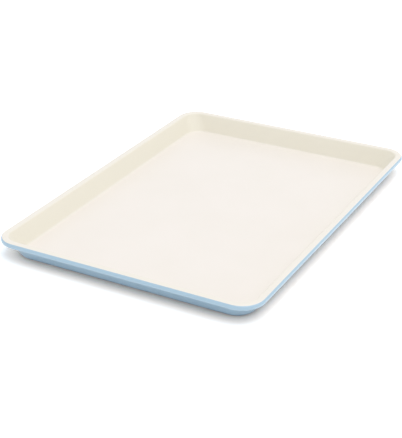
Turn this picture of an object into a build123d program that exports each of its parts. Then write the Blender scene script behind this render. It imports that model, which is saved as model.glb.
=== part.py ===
from build123d import *

import os
from math import asin, cos, degrees, radians, sin, tan

# A half-size cookie sheet: one steel blank, pressed into a shallow tray whose rim is rolled
# over a wire, then coated cream inside and light blue outside. Lengths are in millimetres,
# angles in degrees. The origin is on the table under the middle of the tray; Y runs along
# its length and Z is up.

# Overall
rim_length = 457.0
rim_width = 330.0
pan_height = 24.2
corner_radius = 27.4  # of the rim's outer edge, seen from above
floor_corner_radius = 21.5  # of the floor inside, seen from above
wall_lean = 20.2  # of the four sides, outward from upright

# Layers
sheet_thickness = 0.6
inside_coat = 0.15
outside_coat = 0.15

# Bends of the pressed sheet
floor_bend_radius = 3.0  # on the inside, between floor and wall
rim_bend_radius = 1.9  # on the outside, between wall and rim flat
bend_room_share = 0.9  # of the rim flat, that the rim bend may take up

# Rolled rim
rim_band = 9.0  # from the rim's outer edge in to where the wall starts down
wire_diameter = 4.8
wire_clearance = 0.1
wire_butt_gap = 1.0  # between the two ends of the bent wire
curl_seam_gap = 0.2  # between the sheet's rolled-in edge and the rim flat above it
colour_line_angle = 60.0  # on the bead, up from its outermost line: cream above, blue below

cut_overrun = 1.0

# Depths of the layers below the tray's inside surface
steel_top_depth = inside_coat
steel_under_depth = inside_coat + sheet_thickness
outside_depth = inside_coat + sheet_thickness + outside_coat

# The bead is the sheet rolled round the wire
bead_inner_radius = wire_diameter / 2 + wire_clearance
bead_steel_radius = bead_inner_radius + sheet_thickness
bead_cream_radius = bead_steel_radius + inside_coat
bead_blue_radius = bead_steel_radius + outside_coat
bead_z = pan_height - bead_cream_radius

# Each corner of the rim turns about one upright axis, from which its section is drawn
axis_x = rim_width / 2 - corner_radius
axis_y = rim_length / 2 - corner_radius
bead_r = corner_radius - bead_blue_radius


def inner_side_angle(radius, height):
    """Where a circle round the bead reaches a height above its centre, on the wall's side."""
    return -180 - degrees(asin(height / radius))


# The rolled-in edge of the sheet stops just under the rim flat, and the blue coat turns
# from the rim flat on to the bead where the two meet
curl_end = inner_side_angle(bead_steel_radius, bead_inner_radius - curl_seam_gap)
blue_end = inner_side_angle(bead_blue_radius, bead_inner_radius - outside_coat)
flat_r = bead_r + bead_blue_radius * cos(radians(blue_end))

# The wall runs from the floor's outline out to its own, and the rim bend fits on the flat
lean = radians(wall_lean)
wall_r = corner_radius - rim_band
wall_height = pan_height - outside_depth
bend_room = bend_room_share * (flat_r - wall_r) / tan((radians(90) - lean) / 2)
rim_bend = min(rim_bend_radius, bend_room - outside_depth)


def outline(out, radius, z):
    """A rounded rectangle at a height, its sides a distance out from the corners' axes."""
    return Pos(0, 0, z) * RectangleRounded(2 * (axis_x + out), 2 * (axis_y + out), radius)


def hollow(depth, overrun=0):
    """The tray's hollow, down to a depth below its inside surface and out over the rim flat."""
    flat_z = pan_height - depth
    growth = depth * (1 - sin(lean)) / cos(lean)
    shoulder_r = wall_r + growth
    floor_r = shoulder_r - wall_height * tan(lean)
    well = loft(
        [
            outline(floor_r, floor_corner_radius + growth, flat_z - wall_height),
            outline(shoulder_r, shoulder_r, flat_z),
        ],
        ruled=True,
    )
    well = fillet(well.edges().group_by(Axis.Z)[0], floor_bend_radius + depth)
    above = extrude(outline(flat_r + overrun, flat_r + overrun, flat_z), depth + overrun)
    whole = well.fuse(above)
    flat = whole.faces().filter_by(Axis.Z).sort_by(Axis.Z)[1]
    return fillet(flat.inner_wires()[0].edges(), rim_bend + outside_depth - depth)


def bead_point(radius, angle):
    """A point of the bead's section, at an angle up from its outermost line."""
    return (bead_r + radius * cos(radians(angle)), bead_z + radius * sin(radians(angle)))


def bead_arc(radius, start, end):
    """An arc of the bead's section between two angles."""
    return CenterArc((bead_r, bead_z), radius, start, end - start)


def bead_step(angle, from_radius, to_radius):
    """A short edge straight across a layer of the bead's section."""
    return Line(bead_point(from_radius, angle), bead_point(to_radius, angle))


def section(*lines):
    """A closed outline, as a face in the upright plane through a corner's axis."""
    return Plane.XZ * make_face([edge for line in lines for edge in line.edges()])


def around(face):
    """A section carried along the four sides and round the four corners."""
    runs = []
    for quarter, (side_x, side_y) in enumerate(((1, 1), (-1, 1), (-1, -1), (1, -1))):
        corner = Pos(side_x * axis_x, side_y * axis_y, 0) * Rot(0, 0, 90 * quarter)
        run_length = 2 * axis_x if quarter % 2 else 2 * axis_y
        runs.append(corner * revolve(face, Axis.Z, 90))
        runs.append(corner * extrude(face, run_length))
    return runs


def pressed_layer(top_depth, under_depth, rim_face):
    """A layer of the tray: floor, wall and rim flat, joined to its part of the rolled rim."""
    layer = hollow(under_depth) - hollow(top_depth, cut_overrun)
    return layer.fuse(*around(rim_face)).clean()


def make_pan_shell():
    """The steel sheet: floor, walls and rim flat, rolled on round the wire."""
    top_z = pan_height - steel_top_depth
    under_z = pan_height - steel_under_depth
    rolled_rim = section(
        Line((flat_r, under_z), (flat_r, top_z)),
        Line((flat_r, top_z), (bead_r, top_z)),
        bead_arc(bead_steel_radius, 90, curl_end),
        bead_step(curl_end, bead_steel_radius, bead_inner_radius),
        bead_arc(bead_inner_radius, curl_end, 90),
        Line((bead_r, under_z), (flat_r, under_z)),
    )
    return pressed_layer(steel_top_depth, steel_under_depth, rolled_rim)


def make_rim_wire():
    """The wire in the rim: a rounded rectangle whose two ends meet in the middle of a side."""
    ring_runs = around(Plane.XZ * Pos(bead_r, bead_z) * Circle(wire_diameter / 2))
    ring = ring_runs[0].fuse(*ring_runs[1:])
    butt_gap = Pos(0, axis_y + bead_r, bead_z) * Box(
        wire_butt_gap, 2 * wire_diameter, 2 * wire_diameter
    )
    return (ring - butt_gap).clean()


def make_interior_coating():
    """The cream coat: the whole inside, over the rim flat and down to the colour line."""
    under_z = pan_height - steel_top_depth
    over_rim = section(
        Line((flat_r, under_z), (flat_r, pan_height)),
        Line((flat_r, pan_height), (bead_r, pan_height)),
        bead_arc(bead_cream_radius, 90, colour_line_angle),
        bead_step(colour_line_angle, bead_cream_radius, bead_steel_radius),
        bead_arc(bead_steel_radius, colour_line_angle, 90),
        Line((bead_r, under_z), (flat_r, under_z)),
    )
    return pressed_layer(0, steel_top_depth, over_rim)


def make_exterior_coating():
    """The blue coat: round the bead from the colour line, across its seam, down and under."""
    top_z = pan_height - steel_under_depth
    seam = bead_point(bead_steel_radius, curl_end)
    round_rim = section(
        Line(bead_point(bead_blue_radius, blue_end), (flat_r, top_z)),
        Line((flat_r, top_z), (seam[0], top_z)),
        Line((seam[0], top_z), seam),
        bead_arc(bead_steel_radius, curl_end, colour_line_angle),
        bead_step(colour_line_angle, bead_steel_radius, bead_blue_radius),
        bead_arc(bead_blue_radius, colour_line_angle, blue_end),
    )
    return pressed_layer(steel_under_depth, outside_depth, round_rim)


parts = {
    "pan_shell": make_pan_shell(),
    "rim_wire": make_rim_wire(),
    "interior_coating": make_interior_coating(),
    "exterior_coating": make_exterior_coating(),
}

os.makedirs("parts", exist_ok=True)
for name, solid in parts.items():
    solid.label = name
    export_step(solid, "parts/" + name + ".step")
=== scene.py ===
import math

import bmesh
import bpy
from mathutils import Matrix, Vector


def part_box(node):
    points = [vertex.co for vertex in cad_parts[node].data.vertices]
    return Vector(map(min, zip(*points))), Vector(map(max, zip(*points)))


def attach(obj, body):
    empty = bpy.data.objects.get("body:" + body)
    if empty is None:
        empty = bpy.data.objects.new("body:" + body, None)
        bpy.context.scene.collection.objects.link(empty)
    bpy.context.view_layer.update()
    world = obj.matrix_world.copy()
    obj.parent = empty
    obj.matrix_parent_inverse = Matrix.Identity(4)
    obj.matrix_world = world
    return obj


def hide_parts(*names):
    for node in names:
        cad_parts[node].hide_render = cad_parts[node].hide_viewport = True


# A cookie sheet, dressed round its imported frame: cream ceramic nonstick inside, light blue
# enamel outside, on a white studio floor. Blender's units are metres, and sizes are named
# in millimetres times MM. Angles are in degrees.

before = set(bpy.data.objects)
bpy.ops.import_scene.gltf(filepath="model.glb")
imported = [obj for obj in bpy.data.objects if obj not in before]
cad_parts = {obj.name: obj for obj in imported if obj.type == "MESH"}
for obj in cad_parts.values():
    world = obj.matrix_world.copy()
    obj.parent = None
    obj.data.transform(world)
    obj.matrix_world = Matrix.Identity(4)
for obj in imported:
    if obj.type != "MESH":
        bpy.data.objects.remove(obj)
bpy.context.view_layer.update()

MM = 0.001
BODY = "root"


# Camera
# Fitted to the tray's outline in the photograph, 402 pixels wide and 438 high. The lens and
# its sensor are in millimetres, as the camera takes them.

PHOTO_HEIGHT_PX = 438
FOCAL_LENGTH_PX = 1146.1
SENSOR_SIZE = 36.0
CAMERA_AZIMUTH = 28.76
CAMERA_ELEVATION = 26.77
CAMERA_ROLL = -0.30
CAMERA_DISTANCE = 1384.2 * MM
LOOKED_AT = Vector((-3.5, -30.8, 0)) * MM


def make_camera():
    """A long lens at the photograph's place, with the tray whole in its frame."""
    azimuth = math.radians(CAMERA_AZIMUTH)
    elevation = math.radians(CAMERA_ELEVATION)
    back = Vector(
        (
            math.sin(azimuth) * math.cos(elevation),
            -math.cos(azimuth) * math.cos(elevation),
            math.sin(elevation),
        )
    )
    data = bpy.data.cameras.new("camera")
    data.sensor_width = SENSOR_SIZE
    data.lens = FOCAL_LENGTH_PX * SENSOR_SIZE / PHOTO_HEIGHT_PX
    camera = bpy.data.objects.new("camera", data)
    roll = Matrix.Rotation(math.radians(CAMERA_ROLL), 4, "Z")
    turn = (-back).to_track_quat("-Z", "Y").to_matrix().to_4x4()
    camera.matrix_world = Matrix.Translation(LOOKED_AT + back * CAMERA_DISTANCE) @ turn @ roll
    bpy.context.scene.collection.objects.link(camera)
    bpy.context.scene.camera = camera


# Section of the tray
# The same named sizes as the solids have, so that each coat lies where its solid does.

WALL_LEAN = math.radians(20.2)
CORNER_RADIUS = 27.4 * MM
FLOOR_CORNER_RADIUS = 21.5 * MM
SHEET_THICKNESS = 0.6 * MM
COAT_THICKNESS = 0.15 * MM
FLOOR_BEND_RADIUS = 3.0 * MM
RIM_BEND_RADIUS = 1.9 * MM
RIM_BAND = 9.0 * MM
BEAD_INNER_RADIUS = 2.5 * MM
CURL_SEAM_GAP = 0.2 * MM
COLOUR_LINE_ANGLE = 60.0

RIM_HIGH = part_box("exterior_coating")[1]
RIM_HALF_WIDTH = RIM_HIGH[0]
RIM_HALF_LENGTH = RIM_HIGH[1]
PAN_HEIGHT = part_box("interior_coating")[1][2]

STEEL_TOP = COAT_THICKNESS
STEEL_UNDER = COAT_THICKNESS + SHEET_THICKNESS
OUTSIDE = COAT_THICKNESS + SHEET_THICKNESS + COAT_THICKNESS
WALL_HEIGHT = PAN_HEIGHT - OUTSIDE
WALL_R = CORNER_RADIUS - RIM_BAND
BEAD_STEEL_RADIUS = BEAD_INNER_RADIUS + SHEET_THICKNESS
BEAD_COAT_RADIUS = BEAD_STEEL_RADIUS + COAT_THICKNESS
BEAD_R = CORNER_RADIUS - BEAD_COAT_RADIUS
BEAD_Z = PAN_HEIGHT - BEAD_COAT_RADIUS

# The rim's corners and the floor's rounder ones turn about axes of their own, and the wall
# between them goes over from the one to the other
RIM_AXIS_X = RIM_HALF_WIDTH - CORNER_RADIUS
RIM_AXIS_Y = RIM_HALF_LENGTH - CORNER_RADIUS
AXIS_SHIFT = FLOOR_CORNER_RADIUS + WALL_HEIGHT * math.tan(WALL_LEAN) - WALL_R
FLOOR_AXIS_X = RIM_AXIS_X - AXIS_SHIFT
FLOOR_AXIS_Y = RIM_AXIS_Y - AXIS_SHIFT

# How finely the section and its path are divided
BEND_STEPS = 10
BEAD_ANGLE_STEP = 6.0
FEWEST_BEAD_STEPS = 2
HOLDING_GAP = 0.25 * MM
CORNER_STEPS = 24
WIDTH_STEPS = 12
LENGTH_STEPS = 18
MERGE_DISTANCE = 0.0015 * MM  # points nearer than this are one
SHARP_ANGLE = 40.0

# How far each coat goes over to its second tone. On the steep walls, and a little on the rim, the
# cream's second tone is a painted shade, yellower and darker, for the warm light that the floor
# bounces onto the walls. The blue draws back from the bead's tight bend and from the colour line
CREAM_SHADE_ON_WALL = 0.5
CREAM_SHADE_ON_RIM = 0.18
BLUE_THIN_ON_BEAD = 0.3
BLUE_THIN_AT_COLOUR_LINE = 1.0


def arc(centre_r, centre_z, radius, start, end, steps):
    """Points of an arc in an upright section, from one angle to another."""
    points = []
    for i in range(steps + 1):
        angle = math.radians(start + (end - start) * i / steps)
        points.append((centre_r + radius * math.cos(angle), centre_z + radius * math.sin(angle)))
    return points


def placed(centre, facing, points, thin_and_shade=0.0):
    """Section points as places, each with its share of the coat's second tone: thinner blue on the
    bead, and painted shade on the cream's walls and rim.
    """
    return [(centre + facing * r + Vector((0, 0, z)), thin_and_shade) for r, z in points]


def shade_ramp(points, start, end):
    """The places of a bend, with the share of the cream's painted shade going over from one value to
    another.
    """
    steps = len(points) - 1
    return [(place, start + (end - start) * i / steps) for i, (place, _) in enumerate(points)]


def straight(start, end):
    """A straight run's two holding points, one just inside each end."""
    hold = (end[0] - start[0]).normalized() * HOLDING_GAP
    return [(start[0] + hold, start[1]), (end[0] - hold, end[1])]


def surface(depth, station, end_r=BEAD_R, shade_on_wall=0.0, shade_on_rim=0.0):
    """Floor, wall and rim flat at a depth below the inside surface, out to the radius end_r.

    The last two say how much painted shade the cream has on the wall and on the rim. On the floor it
    has none.
    """
    rim_centre, floor_centre, facing = station
    flat_z = PAN_HEIGHT - depth
    floor_z = flat_z - WALL_HEIGHT
    growth = depth * (1 - math.sin(WALL_LEAN)) / math.cos(WALL_LEAN)
    foot_r = FLOOR_CORNER_RADIUS + growth
    widening = WALL_R + growth - foot_r
    shift = rim_centre - floor_centre
    lean = math.atan2(shift.dot(facing) + widening, WALL_HEIGHT)

    floor_bend = FLOOR_BEND_RADIUS + depth
    floor_share = floor_bend * (1 - math.sin(lean)) / WALL_HEIGHT
    inner = arc(
        foot_r + widening * floor_share - floor_bend * math.cos(lean),
        floor_z + floor_bend,
        floor_bend,
        -90,
        -math.degrees(lean),
        BEND_STEPS,
    )
    rim_bend = RIM_BEND_RADIUS + OUTSIDE - depth
    rim_share = 1 - rim_bend * (1 - math.sin(lean)) / WALL_HEIGHT
    outer = arc(
        foot_r + widening * rim_share + rim_bend * math.cos(lean),
        flat_z - rim_bend,
        rim_bend,
        180 - math.degrees(lean),
        90,
        BEND_STEPS,
    )
    start = placed(floor_centre, facing, [(0, floor_z)])
    inner = placed(floor_centre + shift * floor_share, facing, inner)
    inner = shade_ramp(inner, 0, shade_on_wall)
    outer = placed(floor_centre + shift * rim_share, facing, outer)
    outer = shade_ramp(outer, shade_on_wall, shade_on_rim)
    end = placed(rim_centre, facing, [(end_r, flat_z)], shade_on_rim)
    points = start + straight(start[0], inner[0]) + inner
    points += straight(inner[-1], outer[0]) + outer
    return points + straight(outer[-1], end[0]) + end


def bead_arc(station, radius, start, end, thin_and_shade=0.0):
    """An arc of the bead's section, its angles up from the bead's outermost line."""
    steps = max(FEWEST_BEAD_STEPS, math.ceil(abs(end - start) / BEAD_ANGLE_STEP))
    return placed(station[0], station[2], arc(BEAD_R, BEAD_Z, radius, start, end, steps), thin_and_shade)


def inner_side_angle(radius, height):
    """Where a circle round the bead reaches a height above its centre, on the wall's side."""
    return -180 - math.degrees(math.asin(height / radius))


def cream_section(station):
    """From the middle of the floor out to the colour line, and back along the steel."""
    # The cream's walls, and a little of its rim, carry a painted shade
    over = surface(0, station, shade_on_wall=CREAM_SHADE_ON_WALL, shade_on_rim=CREAM_SHADE_ON_RIM)
    over += bead_arc(station, BEAD_COAT_RADIUS, 90, COLOUR_LINE_ANGLE, CREAM_SHADE_ON_RIM)[1:]
    under = surface(STEEL_TOP, station)
    under += bead_arc(station, BEAD_STEEL_RADIUS, 90, COLOUR_LINE_ANGLE)[1:]
    return over + under[::-1]


def blue_section(station):
    """From the middle of the underside out round the bead to the colour line, and back."""
    coat_end = inner_side_angle(BEAD_COAT_RADIUS, BEAD_INNER_RADIUS - COAT_THICKNESS)
    curl_end = inner_side_angle(BEAD_STEEL_RADIUS, BEAD_INNER_RADIUS - CURL_SEAM_GAP)
    flat_r = BEAD_R + BEAD_COAT_RADIUS * math.cos(math.radians(coat_end))
    seam_r = BEAD_R + BEAD_STEEL_RADIUS * math.cos(math.radians(curl_end))
    outer = surface(OUTSIDE, station, flat_r)
    outer += bead_arc(
        station, BEAD_COAT_RADIUS, coat_end, COLOUR_LINE_ANGLE, BLUE_THIN_ON_BEAD
    )[1:]
    outer[-1] = (outer[-1][0], BLUE_THIN_AT_COLOUR_LINE)
    inner = surface(STEEL_UNDER, station, seam_r)
    inner += bead_arc(station, BEAD_STEEL_RADIUS, curl_end, COLOUR_LINE_ANGLE)
    return inner + outer[::-1]


def path_stations():
    """Places round the tray: the rim's axis, the floor's axis and the way the section faces."""
    stations = []
    for quarter, (side_x, side_y) in enumerate(((1, 1), (-1, 1), (-1, -1), (1, -1))):
        rim_centre = Vector((side_x * RIM_AXIS_X, side_y * RIM_AXIS_Y, 0))
        floor_centre = Vector((side_x * FLOOR_AXIS_X, side_y * FLOOR_AXIS_Y, 0))
        for i in range(CORNER_STEPS):
            angle = math.radians(90 * (quarter + i / CORNER_STEPS))
            facing = Vector((math.cos(angle), math.sin(angle), 0))
            stations.append((rim_centre, floor_centre, facing))
        angle = math.radians(90 * (quarter + 1))
        facing = Vector((math.cos(angle), math.sin(angle), 0))
        along = Vector((-math.sin(angle), math.cos(angle), 0))
        steps = LENGTH_STEPS if quarter % 2 else WIDTH_STEPS
        rim_run = along * 2 * (RIM_AXIS_Y if quarter % 2 else RIM_AXIS_X) / steps
        floor_run = along * 2 * (FLOOR_AXIS_Y if quarter % 2 else FLOOR_AXIS_X) / steps
        for i in range(steps):
            stations.append((rim_centre + rim_run * i, floor_centre + floor_run * i, facing))
    return stations


def fill_middle(mesh, z):
    """The floor's flat middle at a height, as a grid that meets the swept section's start."""
    floor = []
    for j in range(LENGTH_STEPS + 1):
        y = FLOOR_AXIS_Y * (2 * j / LENGTH_STEPS - 1)
        xs = [FLOOR_AXIS_X * (2 * i / WIDTH_STEPS - 1) for i in range(WIDTH_STEPS + 1)]
        floor.append([mesh.verts.new((x, y, z)) for x in xs])
    for row, next_row in zip(floor, floor[1:]):
        for i in range(WIDTH_STEPS):
            mesh.faces.new((row[i], row[i + 1], next_row[i + 1], next_row[i]))


def swept_coat(name, section, material):
    """A coat as one closed mesh: its section round the tray, and the floor's middle filled."""
    mesh = bmesh.new()
    thinness_and_shade = mesh.verts.layers.float.new("thin_coat_and_shade")
    rings = []
    for station in path_stations():
        ring = []
        for place, thin_and_shade in section(station):
            ring.append(mesh.verts.new(place))
            ring[-1][thinness_and_shade] = thin_and_shade
        rings.append(ring)
    for here, there in zip(rings, rings[1:] + rings[:1]):
        for i in range(len(here) - 1):
            mesh.faces.new((here[i], here[i + 1], there[i + 1], there[i]))
    for z in (rings[0][0].co.z, rings[0][-1].co.z):
        fill_middle(mesh, z)
    bmesh.ops.remove_doubles(mesh, verts=mesh.verts, dist=MERGE_DISTANCE)
    bmesh.ops.dissolve_degenerate(mesh, edges=mesh.edges, dist=MERGE_DISTANCE)
    bmesh.ops.recalc_face_normals(mesh, faces=mesh.faces)
    data = bpy.data.meshes.new(name)
    mesh.to_mesh(data)
    mesh.free()
    data.polygons.foreach_set("use_smooth", [True] * len(data.polygons))
    data.set_sharp_from_angle(angle=math.radians(SHARP_ANGLE))
    data.materials.append(material)
    coat = bpy.data.objects.new(name, data)
    bpy.context.scene.collection.objects.link(coat)
    return coat


# Materials


def linear(colour):
    """The linear colour, with alpha, that a shader takes for an sRGB hex one."""
    shares = [int(colour[i : i + 2], 16) / 255 for i in (1, 3, 5)]
    return (*[s / 12.92 if s <= 0.04045 else ((s + 0.055) / 1.055) ** 2.4 for s in shares], 1)


def add(tree, kind, settings=None, **inputs):
    """Adds a node: its settings, and each input's value or the socket that it is linked to."""
    made = tree.nodes.new(kind)
    for key, value in (settings or {}).items():
        setattr(made, key, value)
    for key, value in inputs.items():
        socket = made.inputs[int(key[1:])] if key[1:].isdigit() else made.inputs[key.replace("_", " ")]
        if isinstance(value, bpy.types.NodeSocket):
            tree.links.new(value, socket)
        else:
            socket.default_value = value
    return made


def new_tree(name):
    """A new material and its empty node tree."""
    material = bpy.data.materials.new(name)
    material.use_nodes = True
    material.node_tree.nodes.clear()
    return material, material.node_tree


# Set so, a Mix node goes over from the colour at its socket 6 to the one at 7 as the share at
# its socket 0 grows, and gives the result at its output 2
COLOUR_MIX = {"data_type": "RGBA"}

# Spray marks, shared by both coats
PASS_WIDTH = 75.0 * MM  # the spray gun's passes overlap every 60 to 90 mm
PASS_DETAIL = 2.0
PASS_LOW = 0.3
PASS_HIGH = 0.7
PEEL_WIDTH = 2.6 * MM  # orange peel is 1 to 3 mm across, and shows from close by
PEEL_DETAIL = 1.0
PEEL_HEIGHT = 0.012 * MM
COAT_IOR = 1.5


def spray_marks(tree):
    """How far a place lies in the overlap of two passes, and the orange peel's bumps."""
    place = add(tree, "ShaderNodeTexCoord").outputs["Object"]
    passes = add(
        tree, "ShaderNodeTexNoise", Vector=place, Scale=1 / PASS_WIDTH, Detail=PASS_DETAIL
    )
    overlap = add(
        tree, "ShaderNodeMapRange", Value=passes.outputs[0], From_Min=PASS_LOW, From_Max=PASS_HIGH
    )
    peel = add(tree, "ShaderNodeTexNoise", Vector=place, Scale=1 / PEEL_WIDTH, Detail=PEEL_DETAIL)
    bumps = add(tree, "ShaderNodeBump", Distance=PEEL_HEIGHT, Height=peel.outputs[0])
    return overlap.outputs[0], bumps.outputs[0]


CREAM = "#F4EEE8"
CREAM_TWICE_SPRAYED = "#F2ECE5"
# Painted shade: a yellower, darker cream put on the walls, and a little on the rim, for the warm light
# bounced onto the walls
CREAM_PAINTED_SHADE = "#EDEAD3"
CREAM_SATIN = 0.42
CREAM_SATIN_TWICE_SPRAYED = 0.36
CREAM_GLASS_WEIGHT = 0.3
CREAM_GLASS_ROUGHNESS = 0.2


def sprayed_ceramic_nonstick():
    """Ceramic nonstick, sprayed on and baked, as bakeware has inside.

    A warm satin white under a thin, glassy skin that whitens to a sheen at low angles. It
    is faintly cloudy from the spray gun's passes. On the walls, and a little on the rim, a
    yellower, darker tone is a painted shade for the warm light the floor bounces onto them.
    """
    material, tree = new_tree("sprayed_ceramic_nonstick")
    overlap, bumps = spray_marks(tree)
    thin_and_shade = add(tree, "ShaderNodeAttribute", {"attribute_name": "thin_coat_and_shade"}).outputs["Fac"]
    body = add(
        tree, "ShaderNodeMix", COLOUR_MIX, _0=overlap, _6=linear(CREAM), _7=linear(CREAM_TWICE_SPRAYED)
    )
    # Mixes in the painted shade on the walls and rim
    colour = add(
        tree, "ShaderNodeMix", COLOUR_MIX, _0=thin_and_shade, _6=body.outputs[2], _7=linear(CREAM_PAINTED_SHADE)
    )
    satin = add(
        tree,
        "ShaderNodeMapRange",
        Value=overlap,
        To_Min=CREAM_SATIN,
        To_Max=CREAM_SATIN_TWICE_SPRAYED,
    )
    shader = add(
        tree,
        "ShaderNodeBsdfPrincipled",
        Base_Color=colour.outputs[2],
        Roughness=satin.outputs[0],
        IOR=COAT_IOR,
        Coat_Weight=CREAM_GLASS_WEIGHT,
        Coat_Roughness=CREAM_GLASS_ROUGHNESS,
        Normal=bumps,
        Coat_Normal=bumps,
    )
    add(tree, "ShaderNodeOutputMaterial", Surface=shader.outputs[0])
    return material


BLUE = "#B1CEE1"
BLUE_TWICE_SPRAYED = "#ADCBDF"
BLUE_OVER_BENDS = "#A3C3DA"
BLUE_GLOSS = 0.34
BLUE_GLOSS_TWICE_SPRAYED = 0.28
BLUE_GLASS_WEIGHT = 0.65
BLUE_GLASS_ROUGHNESS = 0.2


def sprayed_blue_enamel():
    """Heatproof enamel, sprayed on and baked, as bakeware has outside.

    A pale, slightly greyed blue with more gloss than the inside. It shows the same passes
    and orange peel, and a deeper blue where it thins over the rolled rim's colour line.
    """
    material, tree = new_tree("sprayed_blue_enamel")
    overlap, bumps = spray_marks(tree)
    thin_and_shade = add(tree, "ShaderNodeAttribute", {"attribute_name": "thin_coat_and_shade"}).outputs["Fac"]
    body = add(
        tree, "ShaderNodeMix", COLOUR_MIX, _0=overlap, _6=linear(BLUE), _7=linear(BLUE_TWICE_SPRAYED)
    )
    colour = add(
        tree, "ShaderNodeMix", COLOUR_MIX, _0=thin_and_shade, _6=body.outputs[2], _7=linear(BLUE_OVER_BENDS)
    )
    gloss = add(
        tree,
        "ShaderNodeMapRange",
        Value=overlap,
        To_Min=BLUE_GLOSS,
        To_Max=BLUE_GLOSS_TWICE_SPRAYED,
    )
    shader = add(
        tree,
        "ShaderNodeBsdfPrincipled",
        Base_Color=colour.outputs[2],
        Roughness=gloss.outputs[0],
        IOR=COAT_IOR,
        Coat_Weight=BLUE_GLASS_WEIGHT,
        Coat_Roughness=BLUE_GLASS_ROUGHNESS,
        Normal=bumps,
        Coat_Normal=bumps,
    )
    add(tree, "ShaderNodeOutputMaterial", Surface=shader.outputs[0])
    return material


# Drawing and rolling lines, shared by both steels
LINE_DETAIL = 2.0

STEEL = "#B9B7B2"
STEEL_DULL = "#A9A7A1"
MILL_LINE_WIDTH = 1.2 * MM  # really about 0.1 mm, drawn coarser so that the lines show
MILL_LINE_LENGTH = 60.0 * MM
MILL_LINE_HEIGHT = 0.004 * MM
SHEET_BRIGHT = 0.3
SHEET_DULL = 0.42


def cold_rolled_steel():
    """Low-carbon sheet steel, cold rolled and left bare under its coats.

    A grey, half-dull metal with fine lines along the tray's length, the way it was rolled.
    """
    material, tree = new_tree("cold_rolled_steel")
    place = add(tree, "ShaderNodeTexCoord").outputs["Object"]
    stretch = (1 / MILL_LINE_WIDTH, 1 / MILL_LINE_LENGTH, 1 / MILL_LINE_WIDTH)
    along = add(tree, "ShaderNodeVectorMath", {"operation": "MULTIPLY"}, _0=place, _1=stretch)
    lines = add(
        tree, "ShaderNodeTexNoise", Vector=along.outputs[0], Scale=1.0, Detail=LINE_DETAIL
    )
    dullness = add(
        tree,
        "ShaderNodeMapRange",
        Value=lines.outputs[0],
        To_Min=SHEET_BRIGHT,
        To_Max=SHEET_DULL,
    )
    colour = add(
        tree, "ShaderNodeMix", COLOUR_MIX, _0=lines.outputs[0], _6=linear(STEEL), _7=linear(STEEL_DULL)
    )
    bumps = add(tree, "ShaderNodeBump", Distance=MILL_LINE_HEIGHT, Height=lines.outputs[0])
    shader = add(
        tree,
        "ShaderNodeBsdfPrincipled",
        Base_Color=colour.outputs[2],
        Metallic=1.0,
        Roughness=dullness.outputs[0],
        Normal=bumps.outputs[0],
    )
    add(tree, "ShaderNodeOutputMaterial", Surface=shader.outputs[0])
    return material


WIRE_GREY = "#A5A39E"
DIE_LINE_WIDTH = 0.6 * MM  # really under 0.1 mm, drawn coarser so that the lines show
DIE_LINE_HEIGHT = 0.006 * MM
WIRE_ROUGHNESS = 0.36


def drawn_steel_wire():
    """Low-carbon steel wire, drawn through a die and bent to the rim's outline.

    A darker, more even grey than the sheet, with the die's scratches running round the ring.
    """
    material, tree = new_tree("drawn_steel_wire")
    place = add(tree, "ShaderNodeTexCoord").outputs["Object"]
    height = add(tree, "ShaderNodeSeparateXYZ", Vector=place).outputs["Z"]
    scratches = add(
        tree,
        "ShaderNodeTexNoise",
        {"noise_dimensions": "1D"},
        W=height,
        Scale=1 / DIE_LINE_WIDTH,
        Detail=LINE_DETAIL,
    )
    bumps = add(tree, "ShaderNodeBump", Distance=DIE_LINE_HEIGHT, Height=scratches.outputs[0])
    shader = add(
        tree,
        "ShaderNodeBsdfPrincipled",
        Base_Color=linear(WIRE_GREY),
        Metallic=1.0,
        Roughness=WIRE_ROUGHNESS,
        Normal=bumps.outputs[0],
    )
    add(tree, "ShaderNodeOutputMaterial", Surface=shader.outputs[0])
    return material


# Studio

WHITE = "#FFFFFF"
FLOOR_SIZE = 2400.0 * MM
FLOOR_WHITE = "#F8F8F8"
# Painted shadow on the floor near the tray: a warm painted shade, and a darker one at the foot
FLOOR_PAINTED_WARM_SHADE = "#FBECE0"
FLOOR_PAINTED_SHADOW_AT_FOOT = "#C0B4AD"
FLOOR_SEEN = 1.56  # times its colour, where it is seen, so that it is as white as the backdrop

# The floor's paint is a painted shadow that follows how open the sky is over a place, from 0,
# closed, to 1, open: it goes over from the dark painted shade at the foot to the warm painted
# shade by the tray in the first range, and to white in the second
SHADOW_REACH = 50.0 * MM
SHADOW_SAMPLES = 16
OPEN_AT_FOOT = (0.16, 0.34)
OPEN_BY_TRAY = (0.4, 0.6)

# A soft dome, and one large softbox high up, a little to the right
HORIZON_LIGHT = 0.865
ZENITH_LIGHT = 0.685
KEY_SIZE = 4500.0 * MM
KEY_POWER = 84.0
KEY_PLACE = Vector((1500.0, -100.0, 4400.0)) * MM


def seen_directly(tree):
    """1 where the camera, a gloss or glass looks straight at a thing, and 0 for its light."""
    rays = add(tree, "ShaderNodeLightPath")
    seen = rays.outputs["Is Camera Ray"]
    for other in ("Is Glossy Ray", "Is Transmission Ray"):
        seen = add(
            tree, "ShaderNodeMath", {"operation": "MAXIMUM"}, _0=seen, _1=rays.outputs[other]
        ).outputs[0]
    return seen


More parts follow.
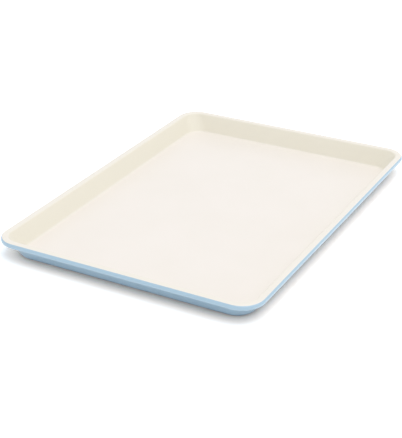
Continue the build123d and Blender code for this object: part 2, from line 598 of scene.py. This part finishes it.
def make_floor():
    """A white studio floor that fades into the white round it and keeps the tray's shadow.

    Close by the tray, where it is seen, it carries a painted shadow: warmer paint that takes the
    blue out of the light off the blue coat, and darker paint at the foot, which deepens the shadow.
    """
    material, tree = new_tree("white_studio_floor")
    open_sky = add(
        tree, "ShaderNodeAmbientOcclusion", {"samples": SHADOW_SAMPLES}, Distance=SHADOW_REACH
    ).outputs["AO"]
    # The floor's painted shadow, darkest where the sky is least open
    shadow_paint = linear(FLOOR_PAINTED_SHADOW_AT_FOOT)
    for (low, high), colour in ((OPEN_AT_FOOT, FLOOR_PAINTED_WARM_SHADE), (OPEN_BY_TRAY, FLOOR_WHITE)):
        share = add(tree, "ShaderNodeMapRange", Value=open_sky, From_Min=low, From_Max=high)
        shadow_paint = add(
            tree, "ShaderNodeMix", COLOUR_MIX, _0=share.outputs[0], _6=shadow_paint, _7=linear(colour)
        ).outputs[2]
    seen_shadow_paint = add(
        tree, "ShaderNodeVectorMath", {"operation": "SCALE"}, _0=shadow_paint, Scale=FLOOR_SEEN
    ).outputs[0]
    shown = add(
        tree,
        "ShaderNodeMix",
        COLOUR_MIX,
        _0=seen_directly(tree),
        _6=linear(FLOOR_WHITE),
        _7=seen_shadow_paint,
    )
    matt = add(tree, "ShaderNodeBsdfDiffuse", Color=shown.outputs[2])
    add(tree, "ShaderNodeOutputMaterial", Surface=matt.outputs[0])
    data = bpy.data.meshes.new("studio_floor")
    half = FLOOR_SIZE / 2
    corners = [(-half, -half, 0), (half, -half, 0), (half, half, 0), (-half, half, 0)]
    data.from_pydata(corners, [], [(0, 1, 2, 3)])
    data.materials.append(material)
    floor = bpy.data.objects.new("studio_floor", data)
    bpy.context.scene.collection.objects.link(floor)


def make_world():
    """White where it is seen, and a soft light all round, a little brighter at the horizon."""
    world = bpy.data.worlds.new("studio")
    world.use_nodes = True
    tree = world.node_tree
    tree.nodes.clear()
    direction = add(tree, "ShaderNodeTexCoord").outputs["Generated"]
    height = add(tree, "ShaderNodeSeparateXYZ", Vector=direction).outputs["Z"]
    light_here = add(
        tree, "ShaderNodeMapRange", Value=height, To_Min=HORIZON_LIGHT, To_Max=ZENITH_LIGHT
    ).outputs[0]
    strength = add(
        tree, "ShaderNodeMapRange", Value=seen_directly(tree), To_Min=light_here, To_Max=1.0
    )
    light = add(tree, "ShaderNodeBackground", Color=linear(WHITE), Strength=strength.outputs[0])
    add(tree, "ShaderNodeOutputWorld", Surface=light.outputs[0])
    bpy.context.scene.world = world


def make_lamp(name, place, size, power):
    """A square softbox that faces the middle of the tray."""
    data = bpy.data.lights.new(name, "AREA")
    data.size = size
    data.energy = power
    lamp = bpy.data.objects.new(name, data)
    lamp.location = place
    lamp.rotation_euler = (-place).to_track_quat("-Z", "Y").to_euler()
    bpy.context.scene.collection.objects.link(lamp)


make_camera()

cream = swept_coat("cream_coat", cream_section, sprayed_ceramic_nonstick())
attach(cream, BODY)
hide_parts("interior_coating")

blue = swept_coat("blue_coat", blue_section, sprayed_blue_enamel())
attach(blue, BODY)
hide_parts("exterior_coating")

for node, steel in (("pan_shell", cold_rolled_steel()), ("rim_wire", drawn_steel_wire())):
    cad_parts[node].data.materials.clear()
    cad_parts[node].data.materials.append(steel)

make_floor()
make_world()
make_lamp("key_softbox", KEY_PLACE, KEY_SIZE, KEY_POWER)

bpy.context.scene.view_settings.view_transform = "Standard"
